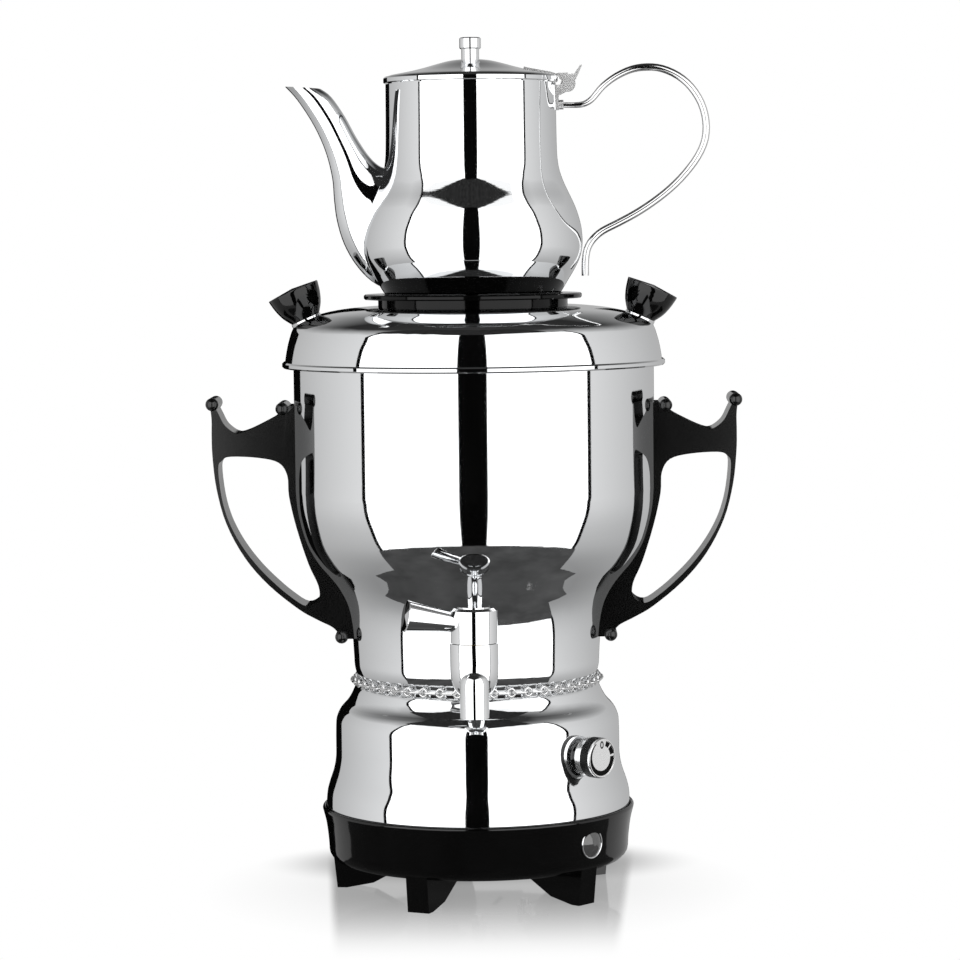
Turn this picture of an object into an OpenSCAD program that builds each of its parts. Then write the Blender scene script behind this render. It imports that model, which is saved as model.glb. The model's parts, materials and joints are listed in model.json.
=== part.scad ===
// Electric samovar with a teapot that stands in a ring on its lid.
// The origin is on the floor on the urn's axis, +Z is up, the tap faces -Y, the spout -X.

/* [Urn] */
// Height from the floor to the top of the teapot's knob
overall_h = 486; // [400:1:560]
// Outside radius of the straight part of the boiler
boiler_r = 102.5; // [80:0.5:120]
// Height of the boiler's top rim
boiler_top_z = 300; // [260:1:340]
// Thickness of the sheet metal of boiler, shell and lid
wall = 1; // [0.8:0.1:1.4]
// Height of the waist groove between boiler and lower shell
waist_z = 121.2; // [110:0.2:130]
// Radius where the waist groove is deepest
waist_r = 67.3; // [60:0.1:75]
// Number of face-on links in the waist chain
chain_links = 44; // [30:1:60]
// Wire radius of the waist chain
chain_wire_r = 0.6; // [0.5:0.05:0.7]
// Radius of a round chain link, to the middle of its wire
chain_ring_r = 2.1; // [1.9:0.05:2.3]

/* [Base moulding] */
// Height of the floor plate of the base above the table
base_z = 18.5; // [14:0.5:24]
// Wall thickness of the moulding
base_wall = 2.6; // [2:0.1:3.5]
// Number of feet
foot_count = 5; // [3:1:5]
// Angle of the first foot from the front, towards the left
foot_angle = 23.9; // [20:0.1:45]
// Width of a foot
foot_w = 13; // [10:0.1:18]
// Distance of a foot's outer face from the axis, at the floor
foot_reach = 81.5; // [76:0.5:84]

/* [Urn handles] */
// Thickness of a handle from front to back
handle_t = 28; // [18:1:34]
// Radius of the balls on the handle's ends
handle_ball_r = 3.7; // [3:0.1:5]
// Height of the upper handle screw
screw_top_z = 262; // [255:1:268]
// Height of the lower handle screw
screw_low_z = 158; // [155:1:162]

/* [Tap] */
// Distance of the tap's turning axis in front of the urn's axis
tap_y = 112; // [106:0.5:120]
// Height of the tap's shank
tap_z = 138; // [134:0.5:142]
// Radius of the tap body
tap_r = 13.3; // [11:0.1:15]
// Height where the turning cap meets the body
tap_split_z = 155; // [152:0.5:158]
// Height of the turning cap
tap_cap_h = 19; // [14:0.5:24]
// Height of the outlet's lower end
tap_outlet_z = 115.5; // [108:0.5:120]
// Radius of the outlet tube
outlet_r = 7.9; // [6:0.1:9]
// Length of the lever cone
lever_l = 30; // [22:0.5:40]
// Upward tilt of the lever
lever_tilt = 10; // [0:1:20]
// Swing of the closed lever towards the front
lever_swing = 15; // [0:1:30]

/* [Dial and lamp] */
// Angle of the dial and the lamp from the front, towards the right
dial_angle = 47.5; // [30:0.5:60]
// Height of the dial's axis
dial_z = 84; // [78:0.5:90]
// Radius of the dial
dial_r = 11.1; // [9:0.1:13]
// Distance of the dial's face from the urn's axis
dial_face = 95; // [92:0.5:100]
// Height of the lamp's axis
lamp_z = 35; // [32:0.5:38]
// Radius of the lamp's lens
lamp_r = 7.6; // [5:0.1:8]

/* [Lid and ring] */
// Radius of the lid's flange
lid_flange_r = 108.9; // [105:0.1:112]
// Distance of a lid knob's foot from the axis
knob_x = 94.9; // [85:0.1:98]
// Height of a lid knob's foot
knob_z = 327.1; // [320:0.1:335]
// Outward tilt of the lid knobs
knob_tilt = 24; // [0:1:35]
// Radius of the support ring's flange
ring_r = 62; // [56:0.5:70]
// Radius of the support ring's neck
ring_neck_r = 53.9; // [51:0.1:56]
// Height of the support ring's top
ring_top_z = 341.4; // [338:0.1:346]

/* [Teapot] */
// Sheet thickness of the teapot
pot_wall = 1; // [0.8:0.1:1.2]
// Height of the teapot's rim
pot_top_z = 460.2; // [440:0.1:480]
// Radius of the teapot lid's rim
pot_lid_r = 49.4; // [46:0.1:54]
// Radius of the hinge barrel
barrel_r = 4.2; // [3.5:0.1:5]
// Distance of the hinge pin from the axis
hinge_x = 55.2; // [53:0.1:58]
// Height of the hinge pin
hinge_z = 459.2; // [450:0.1:470]
// Radius of the handle wire at its bracket
wire_start_r = 1.5; // [1.3:0.1:1.8]
// Radius of the handle wire in the grip
wire_r = 2.1; // [1.6:0.1:2.6]

/* [Fits] */
// Air between surfaces of pieces that move apart
seat_gap = 0.3; // [0.2:0.05:0.4]
// Radial clearance of a turning shaft
run_gap = 0.05; // [0.02:0.01:0.1]
// Radial clearance round a fixed screw or stem
fix_gap = 0.1; // [0.05:0.01:0.2]

/* [Hidden] */
$fn = 128;

black = [0.04, 0.04, 0.045];
steel = [0.83, 0.84, 0.86];
brass = [0.78, 0.63, 0.32];
grey = [0.5, 0.5, 0.52];

// Outside of the boiler from the waist groove up to where it turns straight
shoulder_shares = [
    [0.6566, 0.2502], [0.6634, 0.2539], [0.6732, 0.2593], [0.682, 0.2675], [0.6849, 0.2798],
    [0.6917, 0.3025], [0.7044, 0.3251], [0.7278, 0.3436], [0.7707, 0.3605], [0.8215, 0.3741],
    [0.878, 0.3885], [0.9356, 0.4095], [0.9717, 0.4331], [0.9922, 0.4547], [1, 0.4753]
];
// Outside of the lower shell from its foot up to the waist groove
lower_shell_shares = [
    [0.8478, 0.0947], [0.8478, 0.108], [0.841, 0.1206], [0.8244, 0.1325], [0.8049, 0.1449],
    [0.7932, 0.1595], [0.7922, 0.177], [0.7912, 0.1934], [0.7863, 0.2053], [0.7629, 0.216],
    [0.7259, 0.2247], [0.7024, 0.2325], [0.6859, 0.2399], [0.6702, 0.2453], [0.6566, 0.2494]
];
// Outside of the base moulding from the underside up to the lip
ring_shares = [
    [0.7805, 0.0381], [0.8029, 0.0395], [0.8332, 0.0467], [0.839, 0.0599], [0.8449, 0.072],
    [0.8537, 0.0844], [0.8673, 0.0959], [0.8712, 0.0992], [0.8673, 0.1012], [0.8605, 0.1021],
    [0.8537, 0.1012], [0.8517, 0.0992]
];
// Outside of the urn lid from the flange up to the opening
lid_shares = [
    [1.0459, 0.6247], [1.042, 0.6307], [1.0351, 0.6389], [1.0263, 0.6471], [1.0146, 0.6556],
    [1.0029, 0.6621], [0.9815, 0.6679], [0.9405, 0.6728], [0.8829, 0.6778], [0.8312, 0.6811],
    [0.761, 0.6842], [0.6829, 0.6864], [0.6049, 0.6879], [0.5463, 0.6885], [0.4859, 0.6885]
];
// Outside of the teapot from its foot up to the rim
teapot_shares = [
    [0.4771, 0.7004], [0.4937, 0.7045], [0.5288, 0.7169], [0.5659, 0.73], [0.5932, 0.7416],
    [0.6078, 0.7531], [0.6117, 0.7634], [0.6068, 0.7767], [0.5951, 0.7883], [0.5776, 0.8],
    [0.5541, 0.8115], [0.5268, 0.8235], [0.5024, 0.8354], [0.4849, 0.8473], [0.4761, 0.8601],
    [0.4732, 0.8745], [0.4712, 0.9053], [0.4702, 0.9463]
];
// Top of the teapot lid from its rim up to the knob
teapot_lid_shares = [
    [0.4683, 0.9547], [0.4429, 0.9568], [0.3805, 0.9593], [0.3151, 0.9621], [0.2498, 0.9656],
    [0.1844, 0.9695], [0.122, 0.9728], [0.0673, 0.9743], [0, 0.9747]
];
// Outer edge of an urn handle from its top ball down to its lower ball
handle_outer_shares = [
    [1.4595, 0.5761], [1.4507, 0.5597], [1.4517, 0.5391], [1.4488, 0.5156], [1.4293, 0.4782],
    [1.3776, 0.437], [1.278, 0.3969], [1.1473, 0.3644], [0.9854, 0.3362], [0.8829, 0.3235],
    [0.801, 0.3148], [0.7668, 0.3078]
];
// Saddle of an urn handle from its inner ball out to its top ball
handle_saddle_shares = [
    [1.0624, 0.5704], [1.0995, 0.5621], [1.1805, 0.5527], [1.2673, 0.5444], [1.319, 0.5432],
    [1.3776, 0.5523], [1.4107, 0.5654], [1.438, 0.5774]
];
// Finger loop of an urn handle, all the way round
handle_loop_shares = [
    [1.4176, 0.5019], [1.3971, 0.5115], [1.3463, 0.5156], [1.1912, 0.5138], [1.082, 0.5078],
    [1.0361, 0.4926], [1.0283, 0.4685], [0.9893, 0.4315], [0.9259, 0.3891], [0.8722, 0.363],
    [0.8741, 0.3469], [0.9405, 0.3397], [1.0263, 0.3506], [1.1171, 0.3671], [1.201, 0.3852],
    [1.2741, 0.4049], [1.3327, 0.4253], [1.3756, 0.4465], [1.4039, 0.4712]
];
// Middle line of the teapot handle from its bracket to its free end
wire_shares = [
    [0.4761, 0.921], [0.5463, 0.9204], [0.6078, 0.9208], [0.6459, 0.9235], [0.679, 0.9292],
    [0.7317, 0.942], [0.8068, 0.9535], [0.8927, 0.9613], [0.9756, 0.9636], [1.0585, 0.9615],
    [1.1463, 0.9531], [1.2176, 0.9399], [1.2722, 0.9216], [1.2985, 0.9008], [1.2937, 0.8794],
    [1.2527, 0.8593], [1.1815, 0.8395], [1.0985, 0.8222], [1.0039, 0.8068], [0.9073, 0.7938],
    [0.8039, 0.7823], [0.722, 0.7737], [0.6693, 0.7642], [0.638, 0.7531], [0.6263, 0.7387],
    [0.6254, 0.7218]
];
// Spout sections: lower edge, upper edge and half depth of each, from the root to the mouth
spout_shares = [
    [[0.4585, 0.7058], [0.3707, 0.8467], 0.1463],
    [[0.5620, 0.7181], [0.4293, 0.8477], 0.1463],
    [[0.6459, 0.7370], [0.4634, 0.8494], 0.1405],
    [[0.7112, 0.7617], [0.4976, 0.8510], 0.1307],
    [[0.7483, 0.7885], [0.5298, 0.8556], 0.1200],
    [[0.7629, 0.8128], [0.5600, 0.8621], 0.1112],
    [[0.7717, 0.8385], [0.5932, 0.8716], 0.1034],
    [[0.8059, 0.8689], [0.6400, 0.8877], 0.0937],
    [[0.8683, 0.8994], [0.6985, 0.9107], 0.0868],
    [[0.9561, 0.9288], [0.7707, 0.9329], 0.0810],
    [[1.0254, 0.9453], [0.8283, 0.9424], 0.0790]
];

// Shares turn into lengths: the first times the boiler's radius, the second times the height.
function at(s) = [s[0] * boiler_r, s[1] * overall_h];
function curve(t) = [for (s = t) at(s)];
function last(p) = p[len(p) - 1];
function flip(p) = [for (i = [len(p) - 1:-1:0]) p[i]];
function unit(v) = v / norm(v);
// A smooth line through the points p, with n steps between two of them
function blend(a, b, c, d, t) =
    (2 * b + (c - a) * t + (2 * a - 5 * b + 4 * c - d) * t * t + (3 * b - a - 3 * c + d) * t * t * t) / 2;
function smooth(p, n) = [
    for (i = [0:len(p) - 2], k = [0:n - 1])
        blend(p[max(i - 1, 0)], p[i], p[i + 1], p[min(i + 2, len(p) - 1)], k / n),
    last(p)
];
function smooth_loop(p, n) = [
    for (i = [0:len(p) - 1], k = [0:n - 1])
        blend(p[(i + len(p) - 1) % len(p)], p[i], p[(i + 1) % len(p)], p[(i + 2) % len(p)], k / n)
];
// The same line moved by d to its left-hand side
function beside(p, d) = [
    for (i = [0:len(p) - 1])
        let (v = unit(p[min(i + 1, len(p) - 1)] - p[max(i - 1, 0)]), q = p[i] + d * [-v[1], v[0]])
            [max(q[0], 0), q[1]]
];
// Points of a profile thickened inwards by t
function sheet(p, t) = concat(p, flip(beside(p, t)));
// Everything inside the line p, down to the axis
function filled(p) = concat([[0, p[0][1]]], p, [[0, last(p)[1]]]);

boiler_line = concat(smooth(curve(shoulder_shares), 3), [[boiler_r, boiler_top_z]]);
shell_line = smooth(curve(lower_shell_shares), 3);
lid_line = smooth(curve(lid_shares), 3);
pot_line = smooth(curve(teapot_shares), 3);
pot_lid_line = smooth(curve(teapot_lid_shares), 3);
ring_line = smooth(curve(ring_shares), 3);

module spin(p) rotate_extrude() polygon(p);
module tube(r, bore, h) difference() {
    cylinder(r = r, h = h);
    translate([0, 0, -h / 2]) cylinder(r = bore, h = 2 * h);
}
module nut(across, bore, h) difference() {
    cylinder(r = across / sqrt(3), h = h, $fn = 6);
    translate([0, 0, -h / 2]) cylinder(r = bore, h = 2 * h, $fn = 48);
}
// Children stand on their local Z axis, which points outwards at the given angle and height
module outward(angle, z) translate([0, 0, z]) rotate([0, 0, angle]) rotate([90, 0, 0]) children();
// Children lie along +X, on the right-hand side and mirrored on the left
module both_sides() {
    children();
    mirror([1, 0, 0]) children();
}
// A tube swept through rings of points, as a closed mesh
module skin(rings) {
    n = len(rings[0]);
    m = len(rings);
    points = [for (r = rings, q = r) q];
    sides = [for (i = [0:m - 2], k = [0:n - 1])
        [i * n + k, i * n + (k + 1) % n, (i + 1) * n + (k + 1) % n, (i + 1) * n + k]];
    tris = [for (s = sides) each [[s[0], s[2], s[1]], [s[0], s[3], s[2]]]];
    polyhedron(points = points,
        faces = concat(tris, [[for (k = [0:n - 1]) k]], [[for (k = [n - 1:-1:0]) (m - 1) * n + k]]));
}

// Base moulding: a ring wall with a lip and a floor with vents.
floor_t = 2.5;
ledge_z = 44.7;
lip_in_r = shell_line[0][0] + fix_gap;
foot_in = 40;
foot_pad = 5.5;
foot_taper = 2.2;
foot_under_shares = [[0.742, 0.16], [0.546, 0.62]];
vent_count = 16;
vent_in = 40;
vent_out = 64;
vent_w = 3;
rod_r = 2.5;
rod_ring = 30;
rod_angles = [30, 150, 270];
inlet_w = 27.4;
inlet_h = 19.8;
inlet_z = 34;
inlet_y = 88.6;
inlet_depth = 26;
pad_w = 50;
pad_h = 26;
pad_t = 12;
inlet_screw_x = 20;
inlet_screw_r = 1.45;
lens_body_r = 5.8;

module base_moulding() color(black) difference() {
    union() {
        spin(concat(ring_line, [
            [lip_in_r, ledge_z], [lip_in_r - base_wall, ledge_z],
            [lip_in_r - base_wall, ledge_z - base_wall], [ring_line[0][0] + base_wall, base_z + 2 * floor_t],
            [ring_line[0][0], base_z + floor_t], [0, base_z + floor_t], [0, base_z]]));
        difference() {
            translate([-pad_w / 2, inlet_y - pad_t, base_z + floor_t / 2]) cube([pad_w, pad_t, pad_h]);
            translate([0, 0, ledge_z]) cylinder(r = lip_in_r, h = pad_h);
        }
    }
    for (k = [0:vent_count - 1]) rotate([0, 0, (k + 1 / 2) * 360 / vent_count])
        translate([vent_in, -vent_w / 2, 0]) cube([vent_out - vent_in, vent_w, 2 * base_z]);
    for (a = rod_angles) rotate([0, 0, a]) translate([rod_ring, 0, 0])
        cylinder(r = rod_r + fix_gap, h = 2 * base_z);
    translate([-inlet_w / 2 - fix_gap, inlet_y - 2 * pad_t, inlet_z - inlet_h / 2 - fix_gap])
        cube([inlet_w + 2 * fix_gap, 3 * pad_t, inlet_h + 2 * fix_gap]);
    both_sides() translate([inlet_screw_x, inlet_y, inlet_z]) rotate([90, 0, 0])
        cylinder(r = inlet_screw_r + fix_gap, h = 3 * pad_t, center = true);
    outward(dial_angle, lamp_z) cylinder(r = lens_body_r + fix_gap, h = 2 * boiler_r);
}
// Feet, flat on the table at their outer ends and fitted to the moulding's underside
module base_feet() color(black) difference() {
    for (k = [0:foot_count - 1]) rotate([0, 0, k * 360 / foot_count - foot_angle - 90])
        rotate([90, 0, 0]) linear_extrude(foot_w, center = true) polygon(concat(
            [[foot_in, base_z], [foot_reach + foot_taper, base_z + floor_t],
                [foot_reach, 0], [foot_reach - foot_pad, 0]],
            [for (s = foot_under_shares) [s[0] * foot_reach, s[1] * base_z]]));
    spin(filled(ring_line));
}

// Lower shell: polished sheet that narrows to an inward flange at the waist.
flange_in_r = 57;
shell_top_z = last(shell_line)[1];
bush_r = 5;
module lower_shell() color(steel) difference() {
    union() {
        spin(sheet(shell_line, wall));
        translate([0, 0, shell_top_z - wall]) tube(waist_r, flange_in_r, wall);
    }
    outward(dial_angle, dial_z) cylinder(r = bush_r + fix_gap, h = 2 * boiler_r);
}

// Boiler: one drawn vessel with a flat bottom, open at the top under the lid.
boiler_bottom_z = shell_top_z;
shank_r = 6.4;
screw_r = 2;
module boiler_solid() spin(concat([[0, boiler_bottom_z], [waist_r, boiler_bottom_z]],
    boiler_line, [[0, boiler_top_z]]));
module boiler_inside() spin(concat([[0, boiler_bottom_z + wall]],
    [for (q = beside(boiler_line, wall)) [q[0], max(q[1], boiler_bottom_z + wall)]],
    [[boiler_r - wall, 2 * boiler_top_z], [0, 2 * boiler_top_z]]));
module boiler() color(steel) difference() {
    boiler_solid();
    boiler_inside();
    outward(0, tap_z) cylinder(r = shank_r + fix_gap, h = boiler_r);
    both_sides() for (z = [screw_top_z, screw_low_z]) outward(90, z)
        cylinder(r = screw_r + fix_gap, h = 2 * boiler_r);
}

// Heating under the boiler's bottom.
plate_r = 54;
plate_t = 5;
element_ring = 43;
element_r = 4;
element_gap_angle = 50;
element_drop = 14;
element_leg_r = 3.4;
element_leg_angle = element_gap_angle / 2 + 5;
plate_z = boiler_bottom_z - plate_t;
element_z = plate_z - element_r;
cutout_r = 9;
cutout_h = 8;
cutout_tab_r = 1;
module heater_plate() color(grey) difference() {
    translate([0, 0, plate_z]) cylinder(r = plate_r, h = plate_t);
    for (a = rod_angles) rotate([0, 0, a]) translate([rod_ring, 0, plate_z - plate_t])
        cylinder(r = rod_r + fix_gap, h = 3 * plate_t);
}
module heater_element() color(grey) {
    translate([0, 0, element_z]) rotate([0, 0, 90 + element_gap_angle / 2])
        rotate_extrude(angle = 360 - element_gap_angle) translate([element_ring, 0]) circle(r = element_r);
    for (s = [-1, 1]) rotate([0, 0, 90 + s * element_leg_angle])
        translate([element_ring, 0, element_z - element_drop]) {
            cylinder(r = element_leg_r, h = element_drop);
            translate([0, 0, -2 * element_r]) cylinder(r = element_leg_r / 3, h = 3 * element_r);
        }
}
module dry_cutout() color(black) {
    translate([0, 0, plate_z - cutout_h]) cylinder(r = cutout_r, h = cutout_h);
    for (s = [-1, 1]) translate([s * cutout_r / 2, 0, plate_z - cutout_h - cutout_r])
        cylinder(r = cutout_tab_r, h = cutout_r);
}

// Three rods welded under the boiler pull the base moulding up against the lower shell.
rod_end_z = 10;
rod_nut_h = 5;
rod_nut_across = 8;
module at_rods() for (a = rod_angles) rotate([0, 0, a]) translate([rod_ring, 0, 0]) children();
module tie_rods() color(grey) at_rods()
    translate([0, 0, rod_end_z]) cylinder(r = rod_r, h = boiler_bottom_z - rod_end_z);
module tie_nuts() color(grey) at_rods()
    translate([0, 0, base_z - rod_nut_h]) nut(rod_nut_across, rod_r + run_gap, rod_nut_h);

// Thermostat behind the dial, its shaft through the shell.
stat_w = 32;
stat_h = 28;
stat_front = 70;
stat_back = 50;
shaft_r = 3;
bezel_r = 9.6;
rim_t = 1.6;
band_w = 5.4;
skirt_t = 4;
cap_t = 3;
band_t = 1.2;
face_sink = 0.4;
face_r = 10.3;
tab_l = 6;
shaft_start = stat_back + tab_l;
band_front = dial_face - rim_t;
band_back = band_front - band_w;
knob_back = band_back - skirt_t;
bezel_out = knob_back - face_sink;
shaft_end = dial_face - cap_t;
bush_end = bezel_out - face_sink;
module thermostat() color(black) outward(dial_angle, dial_z) difference() {
    union() {
        translate([-stat_w / 2, -stat_h / 2, stat_back]) cube([stat_w, stat_h, stat_front - stat_back]);
        translate([0, 0, stat_front]) cylinder(r = bush_r, h = bush_end - stat_front);
        for (s = [-1, 1]) translate([s * stat_w / 4, 0, stat_back - tab_l])
            cylinder(r = cutout_tab_r, h = 2 * tab_l);
    }
    translate([0, 0, shaft_start - run_gap]) cylinder(r = shaft_r + run_gap, h = boiler_r);
}
module dial_bezel() color(black) difference() {
    outward(dial_angle, dial_z) translate([0, 0, stat_front])
        tube(bezel_r, bush_r + run_gap, bezel_out - stat_front);
    spin(filled(shell_line));
}

// Dial: a metal knob with a rubber band let into it, on the thermostat's shaft.
module at_dial() outward(dial_angle, dial_z) children();
module dial_knob() color(steel) at_dial() difference() {
    union() {
        translate([0, 0, knob_back]) cylinder(r = dial_r, h = skirt_t);
        translate([0, 0, band_back]) cylinder(r = dial_r - band_t, h = band_w);
        translate([0, 0, band_front]) spin([[0, 0], [dial_r, 0], [dial_r, rim_t - face_sink],
            [dial_r - face_sink, rim_t], [face_r, rim_t], [face_r, rim_t - face_sink],
            [0, rim_t - face_sink]]);
    }
    translate([0, 0, knob_back - skirt_t])
        cylinder(r = shaft_r + fix_gap / 2, h = shaft_end + skirt_t - knob_back);
}
module dial_band() color(black) at_dial() translate([0, 0, band_back])
    tube(dial_r + band_t / 6, dial_r - band_t, band_w);
module dial_shaft() color(grey) at_dial() translate([0, 0, shaft_start])
    cylinder(r = shaft_r, h = shaft_end - shaft_start);

// Pilot lamp: a domed lens through the ring wall and a neon lamp inside it.
lens_tail = 76;
lens_bore_r = 4;
lens_skin = 1.2;
dome_h = 2.8;
ring_face_r = 86.6;
neon_r = 3;
neon_l = 9;
dome_r = (lamp_r * lamp_r + dome_h * dome_h) / (2 * dome_h);
module lamp_lens() color([0.75, 0.76, 0.78]) difference() {
    outward(dial_angle, lamp_z) {
        intersection() {
            translate([0, 0, ring_face_r + dome_h - dome_r]) sphere(r = dome_r);
            translate([0, 0, ring_face_r - dome_h]) cylinder(r = lamp_r, h = 3 * dome_h);
        }
    }
    spin(filled(ring_line));
}
module lamp() color([0.9, 0.45, 0.2]) outward(dial_angle, lamp_z) {
    translate([0, 0, lens_tail]) tube(lens_body_r, lens_bore_r, ring_face_r - lens_skin - lens_tail);
    translate([0, 0, lens_tail]) cylinder(r = lens_body_r, h = lens_skin);
    translate([0, 0, lens_tail]) cylinder(r = neon_r, h = neon_l);
}

// Appliance inlet at the back of the base, with its three pins and two screws.
inlet_face_w = 30.6;
inlet_face_h = 22.6;
inlet_lug_w = 48;
inlet_lug_h = 12;
inlet_face_t = 2;
cavity_w = 24.4;
cavity_h = 16.8;
cavity_depth = 18;
pin_w = 4;
pin_t = 2;
pin_l = 15;
pin_tail = 7;
pin_x = 7;
pin_low = -2;
pin_high = 3;
screw_head_r = 2.7;
screw_head_h = 1.6;
screw_len = 12;
cavity_corner = 4;
module slab(w, h, t) translate([-w / 2, -h / 2, 0]) cube([w, h, t]);
// Local Z points out of the back of the urn, local Y is up
module at_inlet() translate([0, inlet_y, inlet_z]) rotate([90, 0, 180]) children();
module pin_places() for (q = [[-pin_x, pin_low], [pin_x, pin_low], [0, pin_high]])
    translate([q[0], q[1], 0]) children();
module inlet() color(black) at_inlet() difference() {
    union() {
        translate([0, 0, -inlet_depth]) slab(inlet_w, inlet_h, inlet_depth);
        slab(inlet_face_w, inlet_face_h, inlet_face_t);
        slab(inlet_lug_w, inlet_lug_h, inlet_face_t);
    }
    translate([0, 0, inlet_face_t - cavity_depth]) linear_extrude(2 * cavity_depth) polygon([
        [-cavity_w / 2, -cavity_h / 2], [cavity_w / 2, -cavity_h / 2],
        [cavity_w / 2, cavity_h / 2 - cavity_corner], [cavity_w / 2 - cavity_corner, cavity_h / 2],
        [cavity_corner - cavity_w / 2, cavity_h / 2], [-cavity_w / 2, cavity_h / 2 - cavity_corner]]);
    translate([0, 0, -2 * inlet_depth]) pin_places() slab(pin_t, pin_w, 2 * inlet_depth);
    both_sides() translate([inlet_screw_x, 0, -inlet_face_t])
        cylinder(r = inlet_screw_r + fix_gap, h = 3 * inlet_face_t);
}
module inlet_pins() color(brass) at_inlet() translate([0, 0, -inlet_depth - pin_tail])
    pin_places() slab(pin_t, pin_w, inlet_depth - cavity_depth + inlet_face_t + pin_tail + pin_l);
module inlet_screws() color(grey) at_inlet() both_sides() translate([inlet_screw_x, 0, inlet_face_t]) {
    cylinder(r = screw_head_r, h = screw_head_h);
    translate([0, 0, -screw_len]) cylinder(r = inlet_screw_r, h = screw_len);
}

// Insulated leads between inlet, thermostat, cut-out, element and lamp.
lead_r = 1.1;
lead_stub = 7;
lead_far_y = 52;
lead_points = 8;
lead_side_share = [0.3, 0.5, 0.8];
element_end_x = element_ring * sin(element_leg_angle);
element_end_y = element_ring * cos(element_leg_angle);
element_end_z = element_z - element_drop - 2 * element_r - seat_gap;
pin_end_y = inlet_y - inlet_depth - pin_tail;
pin_lead_y = pin_end_y - seat_gap;
pin_lead_z = inlet_z + pin_low;
pin_top_z = pin_lead_z + pin_w / 2 + seat_gap + lead_r;
stat_end = stat_back - tab_l - seat_gap;
cutout_end_z = plate_z - cutout_h - cutout_r - seat_gap;
lamp_end = lens_tail - seat_gap;
function lead_ring(p, i) =
    let (v = unit(p[min(i + 1, len(p) - 1)] - p[max(i - 1, 0)]), u = unit(cross(v, lead_side_share)))
    [for (k = [0:lead_points - 1]) let (w = k * 360 / lead_points)
        p[i] + lead_r * (cos(w) * u + sin(w) * cross(v, u))];
// The line p with its corners cut, the ends kept
function rounded(p) = concat([p[0]],
    [for (i = [0:len(p) - 2]) each [(3 * p[i] + p[i + 1]) / 4, (p[i] + 3 * p[i + 1]) / 4]], [last(p)]);
module lead(p) let (q = rounded(rounded(p))) skin([for (i = [0:len(q) - 1]) lead_ring(q, i)]);
function out_at(angle, reach, z, side) =
    [reach * sin(angle) + side * cos(angle), side * sin(angle) - reach * cos(angle), z];
module wiring() color([0.25, 0.25, 0.28]) {
    lead([[pin_x, pin_lead_y, pin_lead_z], [pin_x, pin_lead_y - lead_stub, pin_lead_z],
        [element_end_x, lead_far_y - lead_stub, dial_z - stat_h],
        [element_end_x, element_end_y, element_end_z - lead_stub],
        [element_end_x, element_end_y, element_end_z]]);
    lead([[-pin_x, pin_lead_y, pin_lead_z], [-pin_x, pin_lead_y - lead_stub, pin_lead_z],
        out_at(dial_angle, stat_end - stat_h / 2, dial_z - stat_h, stat_w / 4),
        out_at(dial_angle, stat_end - lead_stub, dial_z, stat_w / 4),
        out_at(dial_angle, stat_end, dial_z, stat_w / 4)]);
    lead([out_at(dial_angle, stat_end, dial_z, -stat_w / 4),
        out_at(dial_angle, stat_end - lead_stub, dial_z, -stat_w / 4),
        [cutout_r / 2, -2 * cutout_r, dial_z], [cutout_r / 2, 0, cutout_end_z - lead_stub],
        [cutout_r / 2, 0, cutout_end_z]]);
    lead([[-cutout_r / 2, 0, cutout_end_z], [-cutout_r / 2, 0, cutout_end_z - lead_stub],
        [-element_end_x, lead_far_y / 2, dial_z - lead_stub],
        [-element_end_x, element_end_y, element_end_z - lead_stub],
        [-element_end_x, element_end_y, element_end_z]]);
    lead([out_at(dial_angle, lamp_end, lamp_z, 0), out_at(dial_angle, lamp_end - lead_stub, lamp_z, 0),
        out_at(dial_angle, stat_back, lamp_z, 0), [0, lead_far_y / 2, lamp_z + stat_h / 2],
        [pin_x, lead_far_y, pin_top_z],
        [pin_x, pin_end_y + pin_tail / 2, pin_top_z]]);
}

// Waist chain: upright round links joined by flat-lying long links, loose in the groove.
chain_r = 70.1;
link_play = 0.15;
link_half_w = 1.95;
link_weld = 0.02;
link_pitch = 2 * chain_r * sin(180 / chain_links);
link_straight = link_pitch - 2 * chain_ring_r + 4 * chain_wire_r + 2 * link_play - 2 * link_half_w;
chain_z = waist_z + chain_wire_r / 2;
module bent_wire(r, angle) rotate_extrude(angle = angle)
    translate([r, 0]) circle(r = chain_wire_r, $fn = 24);
module chain_link_round() rotate([0, 90, 0]) bent_wire(chain_ring_r, 360);
module chain_link_long() union() for (s = [0, 180]) rotate([0, 0, s]) {
    translate([link_half_w, 0, 0]) rotate([90, 0, 0])
        cylinder(r = chain_wire_r - link_weld, h = link_straight + 2 * link_weld, center = true, $fn = 24);
    translate([0, link_straight / 2, 0]) bent_wire(link_half_w, 180);
}
module waist_chain() color(steel) for (k = [0:chain_links - 1]) {
    rotate([0, 0, k * 360 / chain_links]) translate([chain_r, 0, chain_z]) chain_link_round();
    rotate([0, 0, (k + 1 / 2) * 360 / chain_links])
        translate([chain_r * cos(180 / chain_links), 0, chain_z]) chain_link_long();
}

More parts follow.
